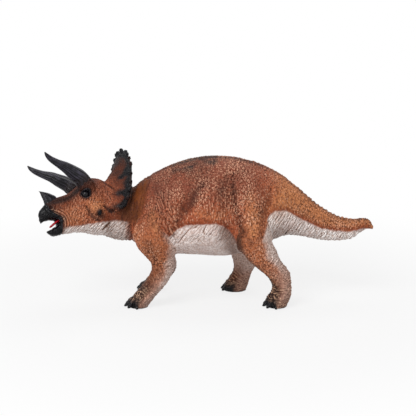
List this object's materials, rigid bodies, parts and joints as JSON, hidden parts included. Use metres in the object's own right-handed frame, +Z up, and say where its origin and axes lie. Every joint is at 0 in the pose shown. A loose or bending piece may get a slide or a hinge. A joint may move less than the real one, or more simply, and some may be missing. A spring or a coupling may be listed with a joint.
{
  "type": "toy dinosaur figure",
  "caption": "Painted rigid vinyl figure of a walking horned dinosaur with a knobbed neck shield, two brow horns, a nose horn, an open beak and a curled tail; a toy and display figure.",
  "frame": {"origin": "middle of the figure's box, on the ground the feet stand on", "axes": "+X runs from the horns to the tail, the figure's left side faces -Y, +Z is up"},
  "size_m": [0.2078, 0.059, 0.0947],
  "materials": {
    "skin_paint": "terracotta paint over moulded scales on vinyl, dry-brushed",
    "leg_paint": "terracotta paint darkening to black at the claws, dry-brushed",
    "shield_paint": "dark brown paint with black blotches towards the rim",
    "horn_paint": "satin black paint over grooved vinyl",
    "tongue_paint": "wet-looking red paint",
    "eye_gloss": "gloss black lacquer"
  },
  "bodies": {
    "root": {"torso_left_shell": "skin_paint", "torso_right_shell": "skin_paint", "head": "skin_paint", "frill": "shield_paint", "tail": "skin_paint", "lower_jaw": "horn_paint", "tongue": "tongue_paint", "nose_horn": "horn_paint", "left_brow_horn": "horn_paint", "right_brow_horn": "horn_paint", "left_eye": "eye_gloss", "right_eye": "eye_gloss", "left_fore_leg": "leg_paint", "right_fore_leg": "leg_paint", "left_hind_leg": "leg_paint", "right_hind_leg": "leg_paint"}
  },
  "joints": []
}
